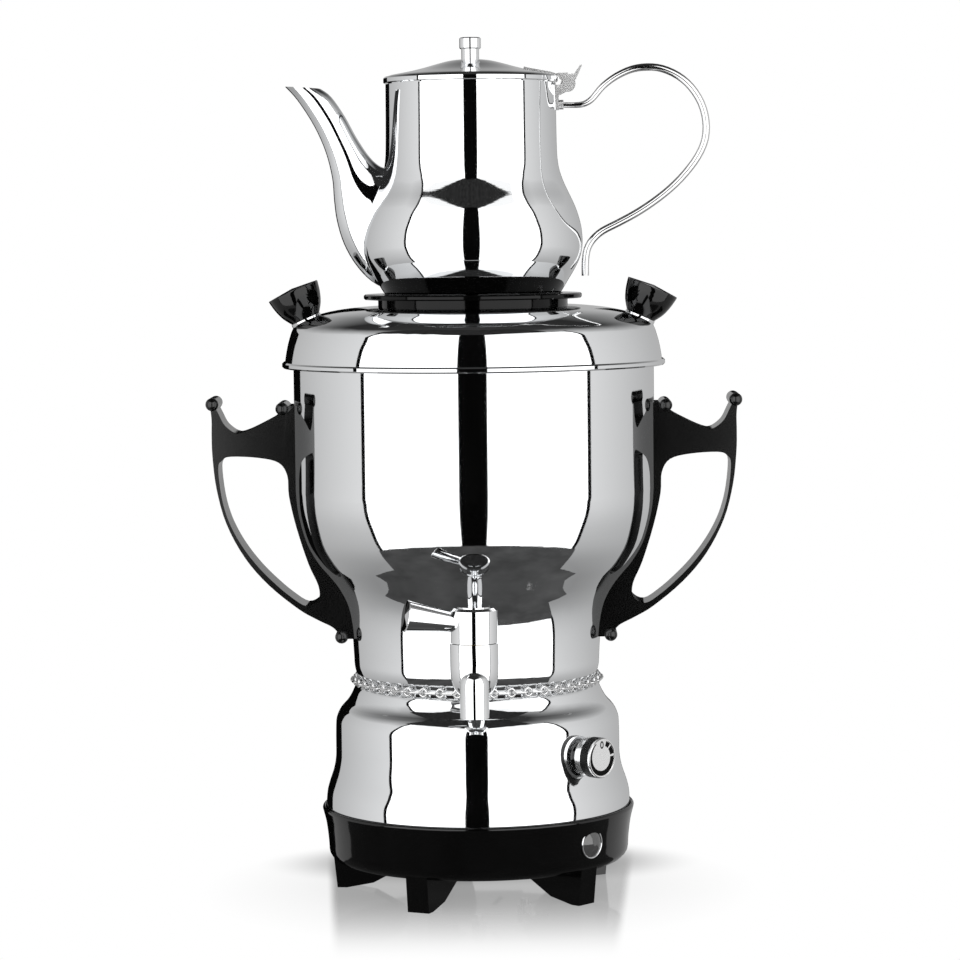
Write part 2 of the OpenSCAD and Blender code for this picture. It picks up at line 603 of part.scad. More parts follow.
// Urn handles: flat moulded arms with balls on their ends, screwed on from inside the boiler.
outer_line = smooth(curve(handle_outer_shares), 4);
saddle_line = smooth(curve(handle_saddle_shares), 4);
loop_line = smooth_loop(curve(handle_loop_shares), 4);
ball_shares = [[1.4468, 0.5767], [1.0605, 0.5708], [0.7473, 0.3027]];
handle_low_z = 146;
handle_high_z = 279;
handle_root = 60;
screw_shank = 17;
handle_head_r = 4;
handle_head_h = 2.4;
washer_t = 1.2;
module handle_profile() difference() {
    union() {
        polygon(concat([[handle_root, handle_low_z], [handle_root, handle_high_z],
            [saddle_line[0][0] - handle_ball_r, handle_high_z]], saddle_line, outer_line,
            [[ball_shares[2][0] * boiler_r, handle_low_z]]));
        for (s = ball_shares) translate(at(s)) circle(r = handle_ball_r);
    }
    polygon(loop_line);
}
module handle() difference() {
    union() {
        rotate([90, 0, 0]) linear_extrude(handle_t, center = true) handle_profile();
        for (s = ball_shares, e = [-1, 1]) translate([at(s)[0], e * handle_t / 2, at(s)[1]])
            sphere(r = handle_ball_r);
    }
    boiler_solid();
    for (z = [screw_top_z, screw_low_z]) outward(90, z) cylinder(r = screw_r + run_gap,
        h = screw_start(z) + handle_head_h + screw_shank + fix_gap);
}
function wall_at(z) = z > screw_low_z ? boiler_r : lookup(z, [for (q = boiler_line) [q[1], q[0]]]);
function screw_start(z) = wall_at(z) - wall - washer_t - handle_head_h - fix_gap;
module handle_right() color(black) handle();
module handle_left() color(black) mirror([1, 0, 0]) handle();
module handle_screws() color(steel) both_sides() for (z = [screw_top_z, screw_low_z]) outward(90, z) {
    translate([0, 0, screw_start(z)]) cylinder(r = handle_head_r, h = handle_head_h);
    translate([0, 0, screw_start(z)]) cylinder(r = screw_r, h = handle_head_h + screw_shank);
}
module handle_washers() color(black) intersection() {
    both_sides() for (z = [screw_top_z, screw_low_z]) outward(90, z)
        translate([0, 0, screw_start(z) + handle_head_h])
            tube(handle_head_r, screw_r + fix_gap, 2 * washer_t);
    boiler_inside($fn = 256);
}

// Tap: a body with shank and outlet, and a plug that the capped lever turns a quarter turn.
plug_r = 6.5;
plug_low_z = 129.5;
port_r = 3;
outlet_bore_r = 5.4;
outlet_dy = 9.5;
outlet_dome_z = 133.4;
body_low_z = 126.6;
collar_r = 11.5;
collar_t = 3;
seal_t = 3;
seal_r = 11;
nut_across = 19;
nut_h = 6;
shank_in = 58.5;
neck_rr = 7.2;
shank_bore_r = 3.6;
tap_shares = [[0.564, 0], [0.72, 0.05], [0.86, 0.16], [0.95, 0.3], [0.99, 0.45], [1, 0.62]];
module at_tap() translate([0, -tap_y, 0]) children();
tap_line = smooth([for (s = tap_shares) [s[0] * tap_r, body_low_z + s[1] * (tap_split_z - body_low_z)]], 3);
seal_face = wall_at(tap_z);
module tap_body() color(steel) difference() {
    union() {
        at_tap() spin(concat([[0, body_low_z]], tap_line, [[tap_r, tap_split_z], [0, tap_split_z]]));
        outward(0, tap_z) translate([0, 0, shank_in])
            cylinder(r = shank_r, h = tap_y - tap_r / 2 - shank_in);
        outward(0, tap_z) translate([0, 0, seal_face + seal_t]) cylinder(r = collar_r, h = collar_t);
        outward(0, tap_z) translate([0, 0, seal_face + seal_t])
            cylinder(r = neck_rr, h = tap_y - tap_r / 2 - seal_face - seal_t);
        translate([0, -tap_y - outlet_dy, tap_outlet_z])
            cylinder(r = outlet_r, h = outlet_dome_z - tap_outlet_z);
        translate([0, -tap_y - outlet_dy, outlet_dome_z]) sphere(r = outlet_r);
    }
    at_tap() translate([0, 0, plug_low_z]) cylinder(r = plug_r + run_gap, h = 3 * tap_cap_h);
    outward(0, tap_z) cylinder(r = shank_bore_r, h = tap_y);
    outward(0, tap_z) translate([0, 0, tap_y]) cylinder(r = port_r, h = outlet_dy);
    translate([0, -tap_y - outlet_dy, tap_outlet_z - outlet_r])
        cylinder(r = outlet_bore_r, h = tap_z + outlet_r - tap_outlet_z);
}
module tap_seals() color([0.85, 0.85, 0.82]) {
    difference() {
        outward(0, tap_z) translate([0, 0, shank_in])
            tube(seal_r, shank_r + fix_gap, seal_face + seal_t - shank_in);
        boiler_solid();
    }
    intersection() {
        outward(0, tap_z) translate([0, 0, seal_face - wall - seal_t])
            tube(seal_r, shank_r + fix_gap, 2 * seal_t);
        boiler_inside();
    }
}
module tap_nut() color(brass) outward(0, tap_z)
    translate([0, 0, seal_face - wall - seal_t - nut_h]) nut(nut_across, shank_r + fix_gap / 2, nut_h);

// Turning parts of the tap, shown closed: the plug's port lies across the flow.
cap_top_z = tap_split_z + seat_gap + tap_cap_h;
cap_r = tap_r * 0.965;
cap_bevel = 1.4;
disc_r = 8.9;
disc_t = 1;
disc_sink = 0.5;
lever_root_r = 4.8;
lever_end_r = 8.7;
lever_start = 8;
lever_z = 164.5;
lever_dome = 1;
stem_r = 2.4;
module tap_plug() color(brass) at_tap() difference() {
    translate([0, 0, plug_low_z + run_gap])
        cylinder(r = plug_r, h = cap_top_z - disc_t - disc_sink - plug_low_z - run_gap);
    translate([-plug_r, 0, tap_z]) rotate([0, 90, 0]) cylinder(r = port_r, h = 2 * plug_r);
}
module tap_cap() color(steel) difference() {
    at_tap() difference() {
        translate([0, 0, tap_split_z + seat_gap]) spin([[0, 0], [cap_r, 0], [cap_r, tap_cap_h - cap_bevel],
            [cap_r - cap_bevel, tap_cap_h], [0, tap_cap_h]]);
        translate([0, 0, tap_split_z]) cylinder(r = plug_r + fix_gap, h = 2 * tap_cap_h);
        translate([0, 0, cap_top_z - disc_t]) cylinder(r = disc_r + fix_gap, h = 2 * disc_t);
    }
    at_lever() translate([0, 0, plug_r + fix_gap]) cylinder(r = stem_r + fix_gap, h = lever_l);
}
module tap_cap_disc() color(steel) at_tap() translate([0, 0, cap_top_z - disc_t])
    cylinder(r = disc_r, h = disc_t + disc_sink);
// Local Z runs along the lever, away from the tap's axis
module at_lever() translate([0, -tap_y, lever_z]) rotate([0, 0, lever_swing - 180])
    rotate([0, 90 - lever_tilt, 0]) children();
module tap_lever() color(steel) {
    difference() {
        at_lever() translate([0, 0, lever_start]) spin([[0, 0], [lever_root_r, 0],
            [lever_end_r, lever_l], [lever_end_r - lever_dome / 2, lever_l + lever_dome / 2],
            [0, lever_l + lever_dome]]);
        at_tap() translate([0, 0, tap_split_z]) cylinder(r = cap_r, h = 2 * tap_cap_h);
    }
    intersection() {
        at_lever() translate([0, 0, plug_r + 2 * fix_gap]) cylinder(r = stem_r, h = lever_l);
        at_tap() translate([0, 0, tap_split_z]) cylinder(r = cap_r, h = 2 * tap_cap_h);
    }
}

// Urn lid: domed sheet with a flange on the boiler's rim, a skirt inside it and two knobs.
flange_t = 3.4;
flange_z = boiler_top_z + seat_gap;
skirt_r = boiler_r - wall - 2 * seat_gap;
lid_skirt_t = 0.9;
skirt_drop = 10;
opening_r = 49.8;
knob_shares = [[0.556, 0.05], [0.6, 0.1], [0.782, 0.33], [0.907, 0.6], [0.97, 0.82], [1, 0.97], [0.985, 1]];
knob_r = 15.1;
knob_h = 18.4;
knob_dome = 1.4;
knob_foot_r = 8.4;
ferrule_r = 8.9;
ferrule_h = 0.9;
knob_line = smooth([for (s = knob_shares) [s[0] * knob_r, s[1] * knob_h]], 3);
knob_screw_in = 9;
knob_head_h = 2;
module at_knobs() both_sides() translate([knob_x, 0, knob_z]) rotate([0, knob_tilt, 0]) children();
module lid() color(steel) difference() {
    union() {
        spin(sheet(lid_line, wall));
        translate([0, 0, flange_z]) spin([[skirt_r, 0], [lid_flange_r - flange_t / 4, 0],
            [lid_flange_r, flange_t / 4], [lid_flange_r, 3 * flange_t / 4],
            [lid_flange_r - flange_t / 4, flange_t], [lid_line[0][0] - wall, flange_t],
            [lid_line[0][0] - 2 * wall, wall], [skirt_r - lid_skirt_t, wall],
            [skirt_r - lid_skirt_t, -skirt_drop], [skirt_r, -skirt_drop]]);
    }
    at_knobs() cylinder(r = screw_r + fix_gap, h = 4 * knob_screw_in, center = true);
}
module lid_solid() spin(filled(lid_line));
module lid_knobs() color(black) difference() {
    at_knobs() difference() {
        spin(concat([[0, ferrule_h], [knob_foot_r, ferrule_h]], knob_line, [[0, knob_h + knob_dome]]));
        translate([0, 0, -knob_h]) cylinder(r = screw_r + run_gap, h = knob_h + knob_screw_in + fix_gap);
    }
    lid_solid();
}
module knob_ferrules() color(steel) difference() {
    at_knobs() translate([0, 0, -knob_dome]) tube(ferrule_r, screw_r + fix_gap, knob_dome + ferrule_h);
    lid_solid($fn = 256);
}
module knob_screws() color(grey) at_knobs() translate([0, 0, -wall - knob_head_h - fix_gap]) {
    cylinder(r = handle_head_r, h = knob_head_h);
    cylinder(r = screw_r, h = wall + knob_head_h + fix_gap + knob_screw_in);
}

// Support ring: stands in the lid's opening, lets steam through and carries the teapot.
ring_flange_t = 2.9;
ring_seat_z = max([for (q = lid_line) q[1]]);
spigot_r = opening_r - 2 * seat_gap;
spigot_drop = 11;
steam_r = 38;
recess_z = 339.9;
recess_r = 51.4;
module support_ring() color(black) spin([[steam_r, ring_seat_z - spigot_drop],
    [spigot_r, ring_seat_z - spigot_drop], [spigot_r, ring_seat_z], [ring_neck_r, ring_seat_z],
    [ring_neck_r, ring_top_z - ring_flange_t], [ring_r - ring_flange_t / 4, ring_top_z - ring_flange_t],
    [ring_r, ring_top_z - 3 * ring_flange_t / 4], [ring_r, ring_top_z - ring_flange_t / 4],
    [ring_r - ring_flange_t / 4, ring_top_z], [recess_r, ring_top_z], [recess_r - seat_gap, recess_z],
    [steam_r, recess_z]]);

// Teapot: drawn body with strainer holes behind the spout.
pot_bottom_z = pot_line[0][1];
strain_r = 1.3;
strain_pitch = 4.6;
strain_z = 380;
strain_rows = 3;
module pot_solid() spin(filled(pot_line));
module teapot() color(steel) difference() {
    pot_solid();
    spin(concat([[0, pot_bottom_z + pot_wall]],
        [for (q = beside(pot_line, pot_wall)) [q[0], max(q[1], pot_bottom_z + pot_wall)]],
        [[last(pot_line)[0] - pot_wall, 2 * pot_top_z], [0, 2 * pot_top_z]]));
    for (i = [-strain_rows:strain_rows], k = [-1:1])
        translate([0, k * strain_pitch, strain_z + (i + k / 2) * strain_pitch]) rotate([0, -90, 0])
            cylinder(r = strain_r, h = boiler_r, $fn = 24);
}
spout_steps = 4;
spout_points = 28;
spout_wall = 1.1;
spout_left = smooth([for (s = spout_shares) at(s[0])], spout_steps);
spout_right = smooth([for (s = spout_shares) at(s[1])], spout_steps);
spout_depth = smooth([for (s = spout_shares) [s[2] * boiler_r, 0]], spout_steps);
// Ellipse number i of the spout, made smaller by t
function spout_ring(i, t) =
    let (a = spout_left[i], b = spout_right[i], c = (a + b) / 2, h = norm(a - b) / 2, u = unit(a - b),
        d = spout_depth[i][0])
    [for (k = [0:spout_points - 1]) let (w = k * 360 / spout_points)
        [-c[0] - u[0] * (h - t) * cos(w), (t - d) * sin(w), c[1] + u[1] * (h - t) * cos(w)]];
module spout_form(t) skin([for (i = [0:len(spout_left) - 1]) spout_ring(i, t)]);
module spout_bore() skin(concat([for (i = [0:len(spout_left) - 1]) spout_ring(i, spout_wall)],
    [[for (q = spout_ring(len(spout_left) - 1, spout_wall)) q + [0, 0, spout_wall]]]));
module spout() color(steel) difference() {
    spout_form(0);
    spout_bore();
    pot_solid();
}

// Teapot handle: one bent wire, held by a shield-shaped bracket at the neck and free at its foot.
wire_line = smooth(curve(wire_shares), 3);
wire_points = 16;
wire_full = 24;
function wire_size(i) = wire_start_r + (wire_r - wire_start_r) * min(i / wire_full, 1);
function wire_ring(i) =
    let (v = unit(wire_line[min(i + 1, len(wire_line) - 1)] - wire_line[max(i - 1, 0)]), r = wire_size(i))
    [for (k = [0:wire_points - 1]) let (w = k * 360 / wire_points)
        [wire_line[i][0] - v[1] * r * cos(w), -r * sin(w), wire_line[i][1] + v[0] * r * cos(w)]];
module wire_handle() color(steel) skin([for (i = [0:len(wire_line) - 1]) wire_ring(i)]);

// Bracket with two hinge lugs, the pin through them, and the lid's strap round the pin.
shield_t = 1.6;
shield_top_w = 15;
shield_low_w = 6;
shield_top_z = 458.6;
shield_low_z = 444.6;
lug_in = 4.7;
lug_t = 1.7;
lug_r = 3.3;
hinge_pin_r = 2;
pin_head_r = 2.8;
pin_head_t = 1;
neck_r = last(pot_line)[0] + fix_gap;
socket_r = 2.7;
socket_l = 3.4;
module handle_bracket() color(steel) difference() {
    union() {
        intersection() {
            tube(neck_r + shield_t, neck_r, pot_top_z);
            rotate([90, 0, 90]) linear_extrude(boiler_r) polygon([
                [-shield_top_w / 2, shield_top_z], [-shield_low_w / 2, shield_low_z],
                [shield_low_w / 2, shield_low_z], [shield_top_w / 2, shield_top_z]]);
        }
        for (s = [-1, 1]) translate([0, s * (lug_in + lug_t / 2), 0]) rotate([90, 0, 0])
            linear_extrude(lug_t, center = true) difference() {
                union() {
                    translate([hinge_x, hinge_z]) circle(r = lug_r);
                    polygon([[neck_r + shield_t / 2, shield_top_z],
                        [neck_r + shield_t / 2, hinge_z - 2 * lug_r],
                        [hinge_x + lug_r / 2, hinge_z - lug_r * sqrt(3) / 2], [hinge_x, hinge_z]]);
                }
                translate([hinge_x, hinge_z]) circle(r = hinge_pin_r + fix_gap / 2);
            }
        translate([neck_r + shield_t / 2, 0, wire_line[0][1]]) rotate([0, 90, 0])
            cylinder(r = socket_r, h = socket_l);
    }
    translate([0, 0, -pot_top_z]) cylinder(r = neck_r, h = 3 * pot_top_z);
    translate([wire_line[0][0] - fix_gap, 0, wire_line[0][1]]) rotate([0, 90, 0])
        cylinder(r = wire_start_r + fix_gap, h = boiler_r);
}
module hinge_pin() color(grey) translate([hinge_x, 0, hinge_z]) rotate([90, 0, 0]) {
    cylinder(r = hinge_pin_r, h = 2 * (lug_in + lug_t), center = true);
    for (s = [-1, 1]) translate([0, 0, s * (lug_in + lug_t + fix_gap + pin_head_t / 2)])
        cylinder(r = pin_head_r, h = pin_head_t + 2 * fix_gap, center = true);
}

// Teapot lid: domed sheet with a rolled rim and a skirt.
pot_lid_low = pot_top_z + seat_gap;
pot_rim_h = 3.7;
pot_skirt_r = 46.6;
pot_skirt_drop = 8;
module teapot_lid() color(steel) {
    spin(sheet(pot_lid_line, pot_wall));
    translate([0, 0, pot_lid_low]) spin([[pot_skirt_r - pot_wall, -pot_skirt_drop],
        [pot_skirt_r, -pot_skirt_drop], [pot_skirt_r, 0], [pot_lid_r - pot_wall / 2, 0],
        [pot_lid_r, pot_wall / 2], [pot_lid_r, pot_rim_h - pot_wall],
        [pot_lid_r - pot_wall, pot_rim_h], [pot_skirt_r - pot_wall, pot_rim_h]]);
}
strap_w = 7.6;
strap_t = 1.1;
strap_sink = 0.3;
strap_start_x = 30;
tab_tip_x = 63.2;
tab_tip_z = 469.8;
strap_out_x = 58.6;
strap_z = 464.3;
strap_line = concat([for (q = flip(pot_lid_line)) if (q[0] > strap_start_x) q],
    [[pot_lid_r, strap_z], [hinge_x, strap_z + fix_gap]]);
module strap_slice() rotate([90, 0, 0]) linear_extrude(strap_w, center = true) children();
module lid_strap() color(steel) {
    difference() {
        strap_slice() polygon(concat(beside(strap_line, -strap_sink), flip(beside(strap_line, strap_t))));
        spin(filled(pot_lid_line));
        cylinder(r = pot_lid_r, h = strap_z);
    }
    strap_slice() difference() {
        union() {
            translate([hinge_x, hinge_z]) circle(r = barrel_r);
            polygon([[pot_lid_r + fix_gap, strap_z + strap_t / 2],
                [pot_lid_r + strap_t, hinge_z + barrel_r / 2 + strap_t], [hinge_x, hinge_z],
                [hinge_x + barrel_r, hinge_z + barrel_r / 2], [tab_tip_x, tab_tip_z],
                [tab_tip_x - strap_t, tab_tip_z], [strap_out_x, strap_z + strap_t / 2]]);
        }
        translate([hinge_x, hinge_z]) circle(r = hinge_pin_r + run_gap);
    }
}
pot_knob_stem_r = 5;
pot_knob_head_r = 6.1;
pot_knob_head_h = 6.5;
pot_knob_stem_h = 9;
pot_knob_round = 0.6;
pot_stem_z = overall_h - pot_knob_head_h - pot_knob_stem_h;
module teapot_knob() color(steel) difference() {
    spin([[0, pot_stem_z], [pot_knob_stem_r, pot_stem_z], [pot_knob_stem_r, overall_h - pot_knob_head_h],
        [pot_knob_head_r - pot_knob_round, overall_h - pot_knob_head_h],
        [pot_knob_head_r, overall_h - pot_knob_head_h + pot_knob_round],
        [pot_knob_head_r, overall_h - pot_knob_round], [pot_knob_head_r - pot_knob_round, overall_h],
        [0, overall_h]]);
    spin(filled(pot_lid_line));
}

base_moulding();
base_feet();
lower_shell();
boiler();
heater_plate();
heater_element();
dry_cutout();
tie_rods();
tie_nuts();
thermostat();
dial_bezel();
lamp_lens();
lamp();
inlet();
inlet_pins();
inlet_screws();
wiring();
waist_chain();
handle_left();
handle_right();
handle_screws();
handle_washers();
tap_body();
tap_seals();
tap_nut();
tap_plug();
tap_cap();
tap_cap_disc();
tap_lever();
dial_knob();
dial_band();
dial_shaft();
lid();
lid_knobs();
knob_ferrules();
knob_screws();
support_ring();
teapot();
spout();
wire_handle();
handle_bracket();
hinge_pin();
teapot_lid();
lid_strap();
teapot_knob();
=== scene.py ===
# %% [markdown]
# # An electric samovar in polished steel
#
# A samovar keeps hot water in a steel boiler and a pot of strong tea on top of it. This one is
# mirror polished, so most of what the eye sees is not the object but the studio in it. The lesson
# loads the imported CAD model, gives each piece its finish, adds the printed dial marks and other
# small pieces that are too fine for CAD, and then builds the studio that the steel reflects.
#
# The shapes could all be modelled here. The CAD model already has them in metres and in their
# places, so it is loaded as a fixed frame and is only dressed.

import json
import math

import bmesh
import bpy
from mathutils import Matrix, Vector


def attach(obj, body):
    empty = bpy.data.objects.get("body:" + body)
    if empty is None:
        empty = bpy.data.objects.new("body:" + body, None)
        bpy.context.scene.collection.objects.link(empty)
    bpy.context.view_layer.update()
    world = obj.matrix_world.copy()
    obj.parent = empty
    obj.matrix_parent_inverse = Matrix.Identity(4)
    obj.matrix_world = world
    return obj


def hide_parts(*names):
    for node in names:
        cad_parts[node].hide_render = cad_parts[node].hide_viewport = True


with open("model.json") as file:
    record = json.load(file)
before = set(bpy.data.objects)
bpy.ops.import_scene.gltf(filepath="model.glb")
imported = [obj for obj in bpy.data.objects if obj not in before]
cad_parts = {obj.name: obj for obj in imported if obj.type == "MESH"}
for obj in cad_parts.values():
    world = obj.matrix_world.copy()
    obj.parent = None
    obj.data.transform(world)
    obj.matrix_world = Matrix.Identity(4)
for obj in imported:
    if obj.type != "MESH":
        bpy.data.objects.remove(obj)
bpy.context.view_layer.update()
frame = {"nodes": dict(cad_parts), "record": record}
nodes = frame["nodes"]

# %% [markdown]
# ## Writing shader maths as plain expressions
#
# Blender's materials are graphs of nodes. Each node could be placed by hand, but a finish is
# easier to read as a formula. The class below wraps one output socket. Python's own operators on
# it add Math nodes, and its method node() adds any other kind, so a whole material is a few lines.

# %% A socket that understands arithmetic


class Wire:
    """One output of a material's node, with Python's operators on it."""

    def __init__(self, tree, socket=None):
        self.tree, self.socket = tree, socket

    def feed(self, slot, value):
        """Links a wire to an input, or writes a plain value into it."""
        if isinstance(value, Wire):
            self.tree.links.new(value.socket, slot)
        else:
            slot.default_value = value

    def node(self, kind, settings=None, sockets=None, out=0):
        """Adds a node: its settings first, then the values or links of its sockets."""
        made = self.tree.nodes.new("ShaderNode" + kind)
        for name, value in (settings or {}).items():
            setattr(made, name, value)
        for name, value in (sockets or {}).items():
            self.feed(made.inputs[name], value)
        return Wire(self.tree, made.outputs[out])

    def maths(self, operation, first, second):
        return self.node("Math", {"operation": operation}, {0: first, 1: second})

    def __add__(self, other):
        return self.maths("ADD", self, other)

    def __mul__(self, other):
        return self.maths("MULTIPLY", self, other)

    def __sub__(self, other):
        return self.maths("SUBTRACT", self, other)

    def __rsub__(self, other):
        return self.maths("SUBTRACT", other, self)

    __radd__ = __add__
    __rmul__ = __mul__


print("Wire is ready: 1 - mask, 0.2 * noise and so on add Math nodes")

# %% [markdown]
# ## A few patterns that every finish draws on
#
# Real surfaces differ a little from place to place: polishing leaves fine lines, hands leave
# faint smudges, mouldings have a soft orange-peel skin. A picture could be wrapped round the
# pieces for this. A noise texture is simpler here: it is measured in metres on the piece itself,
# so it needs no unwrapping and stays put when the camera moves.

# %% Greys, noise and blends


def grey(value):
    return (value, value, value, 1.0)


def noise(wire, scale, stretch=(1, 1, 1), detail=2.0):
    """Noise in the piece's own metres, stretched along its axes."""
    here = wire.node("TexCoord", out="Object")
    stretched = wire.node("VectorMath", {"operation": "MULTIPLY"}, {0: here, 1: stretch})
    return wire.node(
        "TexNoise", None, {"Vector": stretched, "Scale": scale, "Detail": detail}, "Fac"
    )


def shades(wire, mask, dark, light):
    """A colour between two others, by a mask from 0 to 1."""
    return wire.node("Mix", {"data_type": "RGBA"}, {"Factor": mask, 6: dark, 7: light}, 2)


def bump(wire, height, strength, distance):
    return wire.node("Bump", None, {"Height": height, "Strength": strength, "Distance": distance})


print("half grey is", grey(0.5))

# %% [markdown]
# ## From a recipe to a material
#
# Every finish here is one Principled shader. What is the same all over the piece is written on
# its sockets. What varies comes from a recipe, a small function that returns the wires. A finish
# is then given to all the CAD pieces that are made of it.

# %% Making and giving out finishes


def blank(name, kind):
    """A new material, a wire in its graph, and the graph's first node of one kind."""
    material = bpy.data.materials.new(name)
    material.use_nodes = True
    tree = material.node_tree
    return material, Wire(tree), next(n for n in tree.nodes if n.type == kind)


def finish(name, recipe, constants):
    """A material whose Principled shader takes constants and what the recipe wires up."""
    material, wire, shader = blank(name, "BSDF_PRINCIPLED")
    for socket, value in constants.items():
        shader.inputs[socket].default_value = value
    for socket, value in recipe(wire).items():
        wire.feed(shader.inputs[socket], value)
    return material


def dress(material, *names):
    """Gives CAD nodes a material."""
    for name in names:
        piece = nodes[name]
        if not piece.material_slots:
            piece.data.materials.append(material)
        for place in piece.material_slots:
            place.material = material
    print(material.name, "on", ", ".join(names))


print("ready to dress", len(nodes), "pieces")

# %% [markdown]
# ## Mirror-polished steel
#
# The boiler, both lids, the lower shell and the teapot are stainless steel sheet, spun and then
# buffed until they mirror the room. A perfect mirror looks like plastic foil on a screen, so the
# roughness rises slightly in smudges and along the buffing lines, which run round the axis:
# noise squeezed along Z gives thin level rings.

# %% Polished sheet
METAL = {"Metallic": 1.0}


def buffed(wire):
    smudge = noise(wire, scale=9.0, detail=3.0)
    rings = noise(wire, scale=14.0, stretch=(0.3, 0.3, 90.0), detail=3.0)
    tint = shades(wire, smudge, (0.80, 0.815, 0.83, 1), (0.90, 0.905, 0.91, 1))
    return {
        "Base Color": tint,
        "Roughness": 0.018 + 0.035 * smudge * smudge + 0.02 * rings,
        "Normal": bump(wire, rings, strength=0.015, distance=0.0003),
    }


polished_steel = finish("polished steel", buffed, METAL)
dress(polished_steel, "boiler", "lower_shell", "lid", "teapot", "spout", "teapot_lid")

# %% [markdown]
# ## Chrome
#
# The tap, the knobs' collars and the teapot's knob are plated. They could share the sheet's
# finish, but plating is brighter and evener, and has no buffing lines. It follows what lies under
# it, so a very soft large bump keeps the reflections of a cast piece slightly alive.

# %% Plated fittings


def plated(wire):
    cloud = noise(wire, scale=60.0)
    return {
        "Base Color": shades(wire, cloud, (0.84, 0.85, 0.86, 1), (0.93, 0.93, 0.935, 1)),
        "Roughness": 0.02 + 0.04 * cloud * cloud,
        "Normal": bump(wire, cloud, strength=0.02, distance=0.0004),
    }


chrome = finish("chrome plate", plated, METAL)
dress(chrome, "tap_body", "tap_cap", "tap_cap_disc", "tap_lever", "knob_ferrules", "teapot_knob")

# %% [markdown]
# ## Duller metals
#
# Small flat plates that mirror perfectly turn black as soon as they face something dark. The real
# ones don't, because they are tumbled or turned and spread the light a little. The teapot's hinge
# is tumbled steel, and the dial is turned and shows a soft sheen. The teapot's handle and the
# chain are wire, a shade darker than sheet. One function with four numbers covers them all.

# %% Tumbled, turned and wire metals


def metal(name, dark, light, rough, spread):
    """A metal between two greys, whose roughness starts at rough and varies by spread."""

    def recipe(wire):
        cloud = noise(wire, scale=80.0)
        return {
            "Base Color": shades(wire, cloud, grey(dark), grey(light)),
            "Roughness": rough + spread * cloud,
            "Normal": bump(wire, cloud, strength=0.01, distance=0.0002),
        }

    return finish(name, recipe, METAL)


tumbled_steel = metal("tumbled steel", dark=0.82, light=0.93, rough=0.20, spread=0.12)
turned_chrome = metal("turned chrome", dark=0.93, light=0.97, rough=0.22, spread=0.05)
plated_wire = metal("plated wire", dark=0.66, light=0.88, rough=0.04, spread=0.05)
drawn_wire = metal("drawn wire", dark=0.66, light=0.80, rough=0.06, spread=0.06)
dress(tumbled_steel, "handle_bracket", "lid_strap", "hinge_pin")
dress(drawn_wire, "wire_handle")
dress(turned_chrome, "dial_knob")
dress(plated_wire, "waist_chain")

# %% [markdown]
# ## Black mouldings
#
# The base, the lid's knobs and the ring under the teapot come out of polished moulds: nearly
# black, glossy, with a skin that waves a little. The handles come from a slightly duller mould.
# The colour hardly matters on such black pieces: what tells them apart is how much they mirror,
# so each has its own index of refraction. The ring's heatproof plastic mirrors least.

# %% Glossy and satin plastic


def moulded(wire):
    peel = noise(wire, scale=420.0, detail=1.0)
    cloud = noise(wire, scale=22.0, detail=3.0)
    return {
        "Base Color": shades(wire, cloud, grey(0.0008), grey(0.002)),
        "Roughness": 0.05 + 0.08 * cloud * cloud,
        "Normal": bump(wire, peel, strength=0.03, distance=0.0002),
    }


def satin_moulded(wire):
    grain = noise(wire, scale=300.0, detail=1.0)
    cloud = noise(wire, scale=30.0, detail=3.0)
    return {
        "Base Color": shades(wire, cloud, grey(0.001), grey(0.003)),
        "Roughness": 0.10 + 0.06 * cloud,
        "Normal": bump(wire, grain, strength=0.006, distance=0.0002),
    }


black_gloss = finish("black gloss moulding", moulded, {"IOR": 1.48})
black_satin = finish("black satin moulding", satin_moulded, {"IOR": 1.55})
black_heatproof = finish("black heatproof moulding", moulded, {"IOR": 1.3})
dress(black_gloss, "base_moulding", "base_feet", "lid_knobs", "dial_bezel", "inlet")
dress(black_heatproof, "support_ring")
dress(black_satin, "handle_left", "handle_right", "thermostat", "dry_cutout")

# %% [markdown]
# ## Rubber, brass, plain steel and the heater
#
# The remaining finishes sit in gaps or inside the urn. They could be plain colours, but they show
# when the urn is taken apart, so they get their own grain: rubber a fine dust, turned brass and
# steel a fine one too, cast aluminium a coarser skin.

# %% A grain for dull surfaces


def dull(dark, light, rough, scale):
    """A recipe: two colours and a roughness that vary with a fine grain."""

    def recipe(wire):
        dust = noise(wire, scale, detail=4.0)
        return {
            "Base Color": shades(wire, dust, dark, light),
            "Roughness": rough + 0.15 * dust,
            "Normal": bump(wire, dust, strength=0.2, distance=0.0002),
        }

    return recipe


print("dull() makes recipes for rubber, brass, steel and cast metal")

# %% Dull and turned finishes
SMOOTH_RUBBER = {"IOR": 1.3}
black_rubber = finish(
    "black rubber", dull(grey(0.002), grey(0.005), rough=0.4, scale=500.0), SMOOTH_RUBBER
)
seal_rubber = finish("seal rubber", dull(grey(0.55), grey(0.68), rough=0.5, scale=300.0), {})
sleeve = finish("cable sleeve", dull(grey(0.03), grey(0.06), rough=0.45, scale=300.0), {})
brass = finish(
    "turned brass",
    dull((0.62, 0.45, 0.17, 1), (0.80, 0.62, 0.30, 1), rough=0.18, scale=400.0), METAL,
)
turned_steel = finish(
    "turned steel", dull(grey(0.45), grey(0.62), rough=0.22, scale=500.0), METAL
)
cast_metal = finish(
    "cast aluminium", dull(grey(0.50), grey(0.66), rough=0.38, scale=260.0), METAL
)
sheath = finish(
    "heater sheath",
    dull((0.22, 0.20, 0.19, 1), (0.36, 0.34, 0.32, 1), rough=0.42, scale=300.0), METAL,
)
print("seven finishes for gaps and insides")

